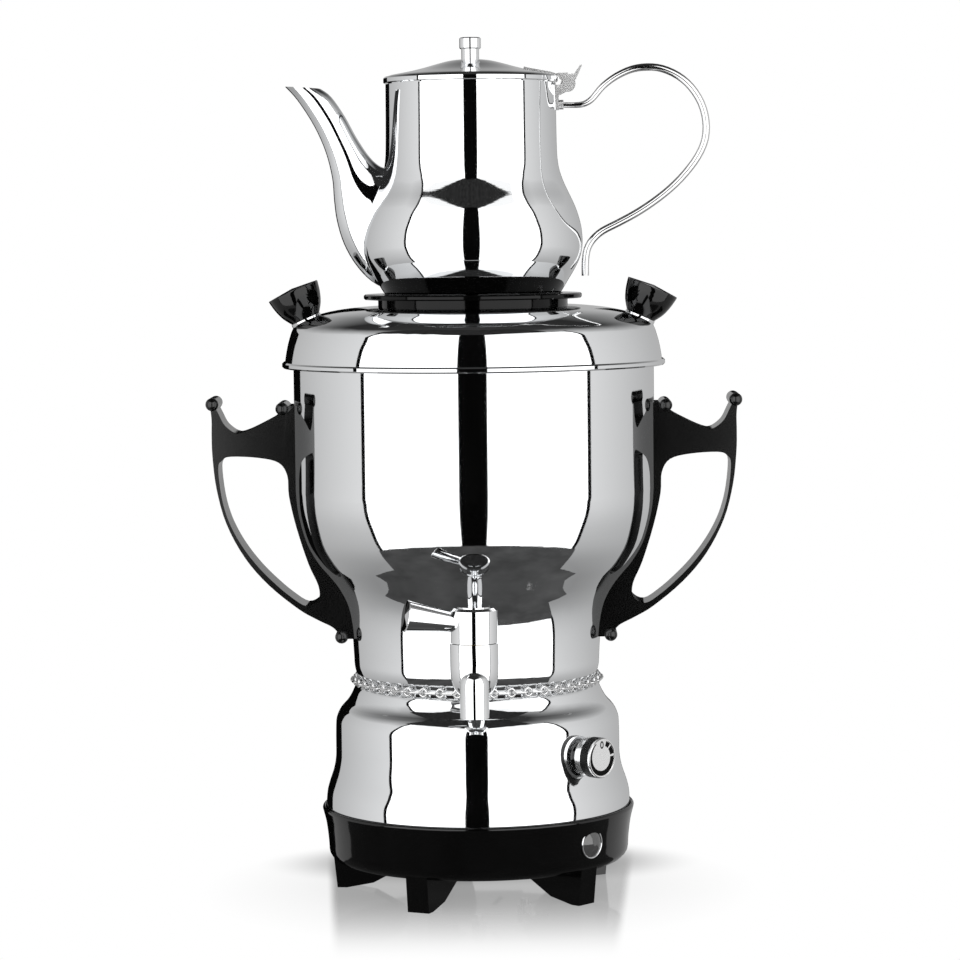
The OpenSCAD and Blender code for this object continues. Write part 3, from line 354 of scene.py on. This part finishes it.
# %% Give them out
dress(black_rubber, "dial_band")
dress(seal_rubber, "tap_seals", "handle_washers")
dress(sleeve, "wiring")
dress(brass, "tap_plug", "tap_nut", "inlet_pins")
dress(turned_steel, "tie_rods", "tie_nuts", "inlet_screws")
dress(turned_steel, "handle_screws", "knob_screws", "dial_shaft")
dress(cast_metal, "heater_plate")
dress(sheath, "heater_element")

# %% [markdown]
# ## The pilot lamp
#
# A domed lens covers a small neon lamp in the base. Unlit it looks like a dark, wet button: the
# smoky plastic lets little light out, and its polished dome mirrors the room. Clear plastic with a
# dark colour inside would need many light bounces, so the lens gets a dark colour, a high index of
# refraction and only a little transmission.

# %% Lens and neon


def smoky(wire):
    cloud = noise(wire, scale=120.0)
    return {
        "Base Color": shades(wire, cloud, grey(0.05), grey(0.09)),
        "Roughness": 0.02 + 0.03 * cloud,
    }


def glow(wire):
    cloud = noise(wire, scale=200.0)
    return {"Base Color": shades(wire, cloud, (0.55, 0.20, 0.07, 1), (0.75, 0.34, 0.14, 1))}


lens = finish("smoky lens", smoky, {"Transmission Weight": 0.1, "IOR": 1.9})
neon = finish("neon lamp", glow, {"Roughness": 0.15, "Transmission Weight": 0.3})
dress(lens, "lamp_lens")
dress(neon, "lamp")

# %% [markdown]
# ## Skins without bands
#
# The CAD model stores a curved wall as many narrow bands, and each band is shaded by itself. On a
# mirror that breaks every reflection into steps. More bands would only make smaller steps. A copy
# of the piece with its double points welded is shaded as one curve instead. The normals are
# weighted by face area, so a long straight wall stays straight right up to its curve, and edges
# sharper than the crease angle stay sharp.

# %% Weld a copy of a piece's mesh
CREASE = math.radians(32)
SAME_POINT = 2e-6


def weld(node):
    """A CAD piece's mesh with its double points joined and its soft edges smooth."""
    mesh = bmesh.new()
    mesh.from_mesh(nodes[node].data)
    bmesh.ops.remove_doubles(mesh, verts=mesh.verts, dist=SAME_POINT)
    for face in mesh.faces:
        face.smooth, face.material_index = True, 0
    for edge in mesh.edges:
        edge.smooth = edge.calc_face_angle(math.pi) < CREASE
    data = bpy.data.meshes.new(node + "_skin")
    mesh.to_mesh(data)
    mesh.free()
    if "custom_normal" in data.attributes:
        data.attributes.remove(data.attributes["custom_normal"])
    return data


print("welds points closer than", SAME_POINT, "m")

# %% Smooth copies of the curved pieces
body_of = {
    node: body for body, held in frame["record"]["behaviour"]["bodies"].items() for node in held
}


def add_object(name, data):
    """Puts an object into the scene."""
    made = bpy.data.objects.new(name, data)
    bpy.context.scene.collection.objects.link(made)
    return made


def skin(node):
    """A welded, smooth-shaded copy that stands for a CAD piece."""
    piece = add_object(node + "_skin", weld(node))
    piece.data.materials.append(nodes[node].material_slots[0].material)
    weighting = piece.modifiers.new("area weighting", "WEIGHTED_NORMAL")
    weighting.mode, weighting.keep_sharp = "FACE_AREA", True
    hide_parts(node)
    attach(piece, body_of[node])
    return piece


skins = {
    node: skin(node)
    for node in (
        "boiler", "lower_shell", "lid", "teapot", "spout", "teapot_lid", "wire_handle",
        "tap_body", "lid_knobs", "handle_left", "handle_right", "base_moulding", "lid_strap",
    )
}
print(len(skins), "smooth skins")

# %% [markdown]
# ## True normals on spun sheet
#
# Sheet that is spun on a lathe is exactly round, so its normals never lean sideways round the
# axis. In a mesh they do lean a little where a hole or a rib cuts the bands unevenly, and a
# mirror shows it as a ragged edge. Smaller faces would cost far more than they mend. So the part
# of each normal that points round the axis is taken out, unless it is large and thus belongs to
# a real hole, or lies so near the axis that the direction means nothing.

# %% Straighten the normals of the turned pieces
MM = 0.001
MOST_LEAN = 0.35
NEAR_AXIS = 4 * MM


def true_up(piece):
    """Turns the normals of a turned piece straight away from its axis."""
    shaded = piece.evaluated_get(bpy.context.evaluated_depsgraph_get()).to_mesh()
    normals = []
    for corner, loop in zip(shaded.corner_normals, shaded.loops):
        normal = corner.vector.copy()
        place = shaded.vertices[loop.vertex_index].co
        sideways = Vector((-place.y, place.x, 0))
        if sideways.length > NEAR_AXIS:
            sideways.normalize()
            lean = normal.dot(sideways)
            if abs(lean) < MOST_LEAN:
                normal = (normal - lean * sideways).normalized()
        normals.append(normal)
    piece.modifiers.clear()
    piece.data.normals_split_custom_set(normals)
    print(piece.name, len(normals), "normals")


for node in ("boiler", "lower_shell", "lid", "teapot", "teapot_lid", "base_moulding"):
    true_up(skins[node])

# %% [markdown]
# ## Marks on the dial
#
# The dial's face carries a zero, two short blocks for the low settings and one long arc that
# thins out towards the top. They are printed. Paint in the material would need a mask for each
# mark, so each is a thin flat plate a twentieth of a millimetre proud of the face, which keeps
# its edge sharp at any distance. The plates are built in the dial's own plane: `across` runs to
# the right and `up` upwards for someone who looks at the dial.

# %% The dial's plane
DIAL_ANGLE = math.radians(47.5)
dial_out = Vector((math.sin(DIAL_ANGLE), -math.cos(DIAL_ANGLE), 0))
dial_across = Vector((math.cos(DIAL_ANGLE), math.sin(DIAL_ANGLE), 0))
dial_up = Vector((0, 0, 1))


def on_dial_line(out, up):
    """A point straight outwards in the dial's direction, out and up in mm."""
    return dial_out * out * MM + dial_up * up * MM


dial_middle = on_dial_line(out=94.6, up=84)


def in_dial(x, y, proud):
    """A point x mm to the right, y mm up and proud mm in front of the dial's face."""
    return dial_middle + (dial_across * x + dial_up * y + dial_out * proud) * MM


print("middle of the dial's face", [round(v, 4) for v in dial_middle])

# %% Thin plates
PROUD = 0.05


def small_piece(name, mesh, material, body):
    """Makes an object of a drawn mesh and lets it ride on a body."""
    bmesh.ops.recalc_face_normals(mesh, faces=mesh.faces)
    data = bpy.data.meshes.new(name)
    mesh.to_mesh(data)
    mesh.free()
    data.materials.append(material)
    piece = add_object(name, data)
    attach(piece, body)
    print(name, len(data.vertices), "points")


ink_recipe = dull(grey(0.0005), grey(0.001), rough=0.5, scale=900.0)
dial_ink = finish("dial ink", ink_recipe, {"IOR": 1.2})


def plate(name, inner, outer, closed):
    """A thin printed plate between two rows of points."""
    mesh = bmesh.new()
    rows = [
        [mesh.verts.new(in_dial(x, y, proud)) for x, y in row]
        for row, proud in ((inner, 0.0), (inner, PROUD), (outer, PROUD), (outer, 0.0))
    ]
    steps = len(inner) if closed else len(inner) - 1
    for lower, upper in zip(rows, rows[1:]):
        for i in range(steps):
            k = (i + 1) % len(inner)
            mesh.faces.new((lower[i], upper[i], upper[k], lower[k]))
    if not closed:
        mesh.faces.new([row[0] for row in rows])
        mesh.faces.new([row[-1] for row in reversed(rows)])
    small_piece(name, mesh, dial_ink, "dial")


# %% The zero
ZERO_UP = 7.4


def zero_line(half_width, half_height):
    """Points round an upright oval where the zero stands."""
    turns = [math.radians(a) for a in range(0, 360, 12)]
    return [(half_width * math.sin(a), ZERO_UP + half_height * math.cos(a)) for a in turns]


plate(
    "dial_zero",
    inner=zero_line(half_width=0.7, half_height=1.35),
    outer=zero_line(half_width=1.4, half_height=2.15),
    closed=True,
)

# %% The blocks and the arc
MARKS_OUTER_R = 9.9
STEP_DEGREES = 4


def clock(radius, degrees):
    """A point at this many degrees clockwise from the top."""
    turn = math.radians(degrees)
    return radius * math.sin(turn), radius * math.cos(turn)


def arc(name, start, end, inner_start, inner_end):
    """A mark from one angle to another, whose inner radius may change on the way."""
    steps = max(4, round(abs(end - start) / STEP_DEGREES))
    turns = [start + (end - start) * i / steps for i in range(steps + 1)]
    inners = [inner_start + (inner_end - inner_start) * i / steps for i in range(steps + 1)]
    inner = [clock(r, t) for r, t in zip(inners, turns)]
    plate(name, inner, outer=[clock(MARKS_OUTER_R, t) for t in turns], closed=False)


arc("dial_block_low", start=22, end=43, inner_start=7.0, inner_end=7.0)
arc("dial_block_next", start=50, end=80, inner_start=7.0, inner_end=7.0)
arc("dial_arc_wide", start=88, end=200, inner_start=6.9, inner_end=7.1)
arc("dial_arc_thin", start=200, end=330, inner_start=7.1, inner_end=9.3)

# %% [markdown]
# ## The rim of the pilot lamp
#
# A bright ring holds the lens in the base's wall. It is as thin as wire. A ready-made torus would
# have to be turned into place afterwards, so the ring is drawn where it sits: a small circle is
# carried round the lens's edge, in the plane that faces the same way as the dial.

# %% A ring round the lens
LENS_EDGE_R, RIM_WIRE_R = 8.0, 0.5
RIM_STEPS, WIRE_STEPS = 72, 16
lens_middle = on_dial_line(out=86.6, up=35)


def rim_point(step, side):
    """A point on the wire's own circle, at one step round the lens."""
    round_lens, round_wire = math.tau * step / RIM_STEPS, math.tau * side / WIRE_STEPS
    spoke = dial_across * math.cos(round_lens) + dial_up * math.sin(round_lens)
    return (
        lens_middle
        + spoke * (LENS_EDGE_R + RIM_WIRE_R * math.cos(round_wire)) * MM
        + dial_out * RIM_WIRE_R * math.sin(round_wire) * MM
    )


rim = bmesh.new()
circles = [
    [rim.verts.new(rim_point(step, side)) for side in range(WIRE_STEPS)]
    for step in range(RIM_STEPS)
]
for step, here in enumerate(circles):
    there = circles[(step + 1) % RIM_STEPS]
    for side in range(WIRE_STEPS):
        after = (side + 1) % WIRE_STEPS
        rim.faces.new((here[side], here[after], there[after], there[side])).smooth = True
small_piece("lamp_rim", rim, chrome, "urn")

# %% [markdown]
# ## The camera
#
# The viewpoint was found by fitting the ellipses of the rims: a long lens, about two metres away,
# a little above the lid and looking slightly down. Position, pan, pitch and roll could be one
# matrix of bare numbers. They are set one after the other instead, so that each can be read.
# Places are in metres and angles in radians.

# %% Camera at the photograph's viewpoint
IMAGE_SIDE = 960
FOCAL_PIXELS = 3425.9
SENSOR_MM = 36.0
CAMERA_PLACE = Vector((0.023, -1.9512, 0.3786))
PITCH_DOWN = 0.0735
ROLL = 0.0108
AXIS_LEFT_PIXELS = 5.2
camera_data = bpy.data.cameras.new("camera")
camera_data.sensor_width = SENSOR_MM
camera_data.lens = FOCAL_PIXELS / IMAGE_SIDE * SENSOR_MM
camera = add_object("camera", camera_data)
pan = math.atan2(CAMERA_PLACE.x, -CAMERA_PLACE.y) - AXIS_LEFT_PIXELS / FOCAL_PIXELS
camera.matrix_world = (
    Matrix.Translation(CAMERA_PLACE)
    @ Matrix.Rotation(pan, 4, "Z")
    @ Matrix.Rotation(math.pi / 2 - PITCH_DOWN, 4, "X")
    @ Matrix.Rotation(-ROLL, 4, "Z")
)
bpy.context.scene.camera = camera
print("lens", round(camera_data.lens, 2), "mm, pan", round(math.degrees(pan), 2), "degrees")

# %% [markdown]
# ## The studio
#
# Steel shows its surroundings, so the studio is part of its finish. Two tall soft boxes stand left
# and right of the camera. The unlit gap between them is the black stripe down the middle of the
# boiler, and their outer ends are where the bright front gives way to the grey sides. One round
# light tent would be softer, but it would lose that stripe and those clear borders.

# %% Soft boxes
GAP_LEFT, GAP_RIGHT, GAP_DISTANCE = -9.0, 8.6, 2.3
EDGE_LEFT, EDGE_RIGHT, EDGE_DISTANCE = -71.5, 75.7, 2.25
BOX_TOP, BOX_LOW = 2.42, -1.5
BOX_STRENGTH = 1.1


def plan(degrees, distance):
    """A place on the floor plan, in degrees from the front towards the right."""
    turn = math.radians(degrees)
    return distance * math.sin(turn), -distance * math.cos(turn)


def soft_box(name, near, far):
    """A tall area lamp between two places on the floor plan, turned to the urn."""
    lamp = bpy.data.lights.new(name, "AREA")
    lamp.shape = "RECTANGLE"
    run = Vector(far) - Vector(near)
    lamp.size, lamp.size_y = run.length, BOX_TOP - BOX_LOW
    lamp.energy = BOX_STRENGTH * math.pi * lamp.size * lamp.size_y
    middle = (Vector(near) + Vector(far)) / 2
    box = add_object(name, lamp)
    x_axis = run.normalized().to_3d()
    z_axis = Vector((middle.x, middle.y, 0))
    z_axis = (z_axis - z_axis.project(x_axis)).normalized()
    axes = Matrix((x_axis, z_axis.cross(x_axis), z_axis)).transposed().to_4x4()
    box.matrix_world = Matrix.Translation((middle.x, middle.y, (BOX_LOW + BOX_TOP) / 2)) @ axes
    box.visible_camera = False
    print(name, round(lamp.size, 2), "m wide,", round(lamp.energy, 1), "W")


soft_box("soft_box_right", plan(GAP_RIGHT, GAP_DISTANCE), plan(EDGE_RIGHT, EDGE_DISTANCE))
soft_box("soft_box_left", plan(GAP_LEFT, GAP_DISTANCE), plan(EDGE_LEFT, EDGE_DISTANCE))

# %% [markdown]
# ## Cards
#
# Photographers hold black cards beside shiny things, because a thin dark line gives them an edge.
# Here the cards are seen by reflections only, so they cost the picture no light and no shadow:
# one fills the gap, two draw the thin lines at the soft boxes' ends, and two stand behind the urn
# and darken its outline. Level cards stand in for the table top round the urn, seen in every
# slope that faces down. Their grey is painted shade: the urn's own shadow on the white table and
# its dark base mirrored there. Another stands for the dark ceiling, seen in every slope that faces
# up. Real black boards would do the same, but they would also have to be kept out of the camera's
# sight.

# %% What a card sends back


def card_finish(name, dark, light):
    """Light that a card sends back, in soft blotches between two greys."""
    material, wire, out = blank(name, "OUTPUT_MATERIAL")
    blotch = noise(wire, scale=9.0, detail=3.0)
    sent = wire.node("Emission", None, {"Color": shades(wire, blotch, grey(dark), grey(light))})
    wire.feed(out.inputs["Surface"], sent)
    return material


card_black = card_finish("card black", dark=0.0, light=0.004)
# Painted shade: the white table round the urn, darkened by the urn's shadow and by its dark base
# mirrored in it
card_table_shade = card_finish("painted table shade", dark=0.012, light=0.13)
card_ceiling = card_finish("ceiling grey", dark=0.0, light=0.05)


def card(name, corners, material):
    """A flat card that only reflections see."""
    data = bpy.data.meshes.new(name)
    data.from_pydata(corners, [], [list(range(len(corners)))])
    data.materials.append(material)
    piece = add_object(name, data)
    piece.visible_camera = piece.visible_diffuse = piece.visible_shadow = False
    piece.visible_transmission = False
    print(name, len(corners), "corners")


# %% Upright cards
GAP_CARD_DISTANCE = 2.25
LINE_WIDTH, LINE_OVERLAP, LINE_DISTANCE = 2.2, 0.5, 2.2
BACK_DISTANCE, BACK_TOP = 1.8, 0.62
OVER_BOX = 0.3


def upright_card(name, start, end, distance, top=BOX_TOP + OVER_BOX):
    """An upright card between two directions, at one distance from the urn."""
    a, b = plan(start, distance), plan(end, distance)
    card(name, [(*a, BOX_LOW), (*b, BOX_LOW), (*b, top), (*a, top)], card_black)


upright_card("gap_card", GAP_LEFT, GAP_RIGHT, GAP_CARD_DISTANCE)
upright_card("edge_card_right", EDGE_RIGHT - LINE_OVERLAP, EDGE_RIGHT + LINE_WIDTH, LINE_DISTANCE)
upright_card("edge_card_left", EDGE_LEFT + LINE_OVERLAP, EDGE_LEFT - LINE_WIDTH, LINE_DISTANCE)
upright_card("back_card_right", 169, 175, BACK_DISTANCE, BACK_TOP)
upright_card("back_card_left", -142, -175, BACK_DISTANCE, BACK_TOP)

# %% Level cards
UNDER_URN_R, TABLE_R, NEAR_R = 0.02, 0.36, 0.2
TABLE_Z, NEAR_Z = -0.001, -0.0014
TABLE_INSET = 6
CEILING_NEAR, CEILING_FAR, OVER_LAMPS = 0.5, 2.3, 0.04
RING_STEPS = 16


def level_card(name, start, end, near, far, height, material):
    """A level part of a ring round the urn."""
    turns = [start + (end - start) * i / RING_STEPS for i in range(RING_STEPS + 1)]
    inner = [(*plan(turn, near), height) for turn in turns]
    outer = [(*plan(turn, far), height) for turn in turns]
    card(name, inner + outer[::-1], material)


# Two level cards carry the painted shade of the table round the urn, seen only in slopes that face
# down
level_card(
    "table_shade_card", EDGE_LEFT + TABLE_INSET, EDGE_RIGHT - TABLE_INSET, UNDER_URN_R, TABLE_R,
    TABLE_Z, card_table_shade,
)
level_card("near_shade_card", -91, 92, UNDER_URN_R, NEAR_R, NEAR_Z, card_table_shade)
level_card("ceiling_card", -78, 60, CEILING_NEAR, CEILING_FAR, BOX_TOP + OVER_LAMPS, card_ceiling)

# %% [markdown]
# ## Floor
#
# The urn stands on pure white, with a weak shadow on both sides behind the base and a faint
# mirror image of the base in front of it. A plain floor under plain light would be grey and
# shaded all over. So the camera sees a floor that sends back even white, dimmed by an oval
# shadow, with a share of real shading near the feet and a mirror that fades out forwards and to
# the sides. All the masks are measured on the floor itself, so they stay put for every camera.
# The steel doesn't see this floor: its reflections go on downwards to the soft boxes, as they do
# for an urn on a small table.

# %% A plain floor
FLOOR_HALF = 6
floor_data = bpy.data.meshes.new("floor")
floor_data.from_pydata(
    [(x * FLOOR_HALF, y * FLOOR_HALF, 0) for x, y in ((-1, -1), (1, -1), (1, 1), (-1, 1))],
    [], [(0, 1, 2, 3)],
)
floor = add_object("floor", floor_data)
floor.visible_glossy = False
pale, wire, floor_shader = blank("pale floor", "BSDF_PRINCIPLED")
floor_out = next(n for n in pale.node_tree.nodes if n.type == "OUTPUT_MATERIAL")
floor_shader.inputs["Base Color"].default_value = grey(0.86)
floor_shader.inputs["Roughness"].default_value = 0.22
floor_data.materials.append(pale)
print("floor", 2 * FLOOR_HALF, "m square")

# %% Measures on the floor
place = wire.node("TexCoord", out="Object")
across = wire.node("SeparateXYZ", None, {0: place}, "X")
forth = wire.node("SeparateXYZ", None, {0: place}, "Y")


def length(vector):
    return wire.node("VectorMath", {"operation": "LENGTH"}, {0: vector}, 1)


def ramp(wire, value, span, levels, curve="LINEAR"):
    """A level that runs from one value to another over a span, and stays there beyond it."""
    ends = {"From Min": span[0], "From Max": span[1], "To Min": levels[0], "To Max": levels[1]}
    return wire.node("MapRange", {"interpolation_type": curve}, {"Value": value, **ends})


print("distances on the floor are in metres from the urn's axis")

# %% Masks on the floor
SOFT = "SMOOTHSTEP"
SHADOW_MIDDLE, SHADOW_SHAPE = (0, 0.078, 0), (7.4, 12.5, 0)
WIDER_AT_BACK = 0.06
from_middle = wire.node("VectorMath", {"operation": "SUBTRACT"}, {0: place, 1: SHADOW_MIDDLE})
oval = wire.node("VectorMath", {"operation": "MULTIPLY"}, {0: from_middle, 1: SHADOW_SHAPE})
shadow = ramp(wire, length(oval), span=(0.3, 1.0), levels=(0.15, 1.0), curve=SOFT)
unshaded = ramp(wire, length(place), span=(0.09, 0.16), levels=(0.85, 1.0))
sideways = wire.node("Math", {"operation": "ABSOLUTE"}, {0: across}) - WIDER_AT_BACK * forth
gloss = (
    ramp(wire, forth, span=(-0.2, -0.02), levels=(0.0, 0.8), curve=SOFT)
    * ramp(wire, sideways, span=(0.081, 0.088), levels=(1.0, 0.0), curve=SOFT)
    * ramp(wire, forth, span=(0.04, 0.12), levels=(1.0, 0.0))
)
print("masks for the shadow, the shading near the feet and the mirror")

# %% White, mirror and shading together
MIRROR_SHARE, MIRROR_DIMS = 0.5, 0.45
seen = wire.node("LightPath", out="Is Camera Ray")
brightness = shadow * (1 - MIRROR_DIMS * gloss)
white = wire.node("Emission", None, {"Color": shades(wire, brightness, grey(0.0), grey(1.0))})
mirror = wire.node("BsdfGlossy", None, {"Color": grey(0.9), "Roughness": 0.06})
mirrored = wire.node("MixShader", None, {0: gloss * MIRROR_SHARE, 1: white, 2: mirror})
shaded = Wire(pale.node_tree, floor_shader.outputs[0])
mixed = wire.node("MixShader", None, {0: seen * unshaded, 1: shaded, 2: mirrored})
wire.feed(floor_out.inputs["Surface"], mixed)
print("floor material has", len(pale.node_tree.nodes), "nodes")

# %% [markdown]
# ## Room
#
# What the steel sees beside the soft boxes is the room. An even grey one would leave the boiler's
# sides flat. In a real studio the light falls off away from the lamps, so reflections find a room
# that gets darker towards the back, towards the ground and, most of all, overhead. The camera
# itself looks past the urn at plain white.

# %% White room
world = bpy.data.worlds.new("room")
bpy.context.scene.world = world
world.use_nodes = True
world.node_tree.nodes.clear()
air = Wire(world.node_tree)
direct = air.node("LightPath", out="Is Camera Ray")
glossy = air.node("LightPath", out="Is Glossy Ray")
through = air.node("LightPath", out="Is Transmission Ray")
aim = air.node("TexCoord", out="Generated")
facing = air.node("SeparateXYZ", None, {0: aim}, "Y")
height = air.node("SeparateXYZ", None, {0: aim}, "Z")
print("the room knows each ray's kind and direction")

# %% How bright the room is in each direction
ROOM, BEHIND_GLASS = 0.55, 0.40
walls = ramp(air, facing, span=(-0.3, 1.0), levels=(0.82, 0.46))
ground = ramp(air, height, span=(-0.75, -0.15), levels=(0.45, 1.0))
lower_at_back = ramp(air, facing, span=(0.0, 1.0), levels=(0.0, 0.35))
ceiling = ramp(air, height + lower_at_back, span=(0.55, 0.9), levels=(1.0, 0.05))
mirrored_room = walls * ground * ceiling
level = ROOM + (1 - ROOM) * direct + glossy * (mirrored_room - ROOM) + BEHIND_GLASS * through
glow_of_room = air.node("Background", None, {"Color": grey(1.0), "Strength": level})
room_out = world.node_tree.nodes.new("ShaderNodeOutputWorld")
air.feed(room_out.inputs["Surface"], glow_of_room)
bpy.context.scene.view_settings.view_transform = "Standard"
print("room level", ROOM, "and white behind the object")
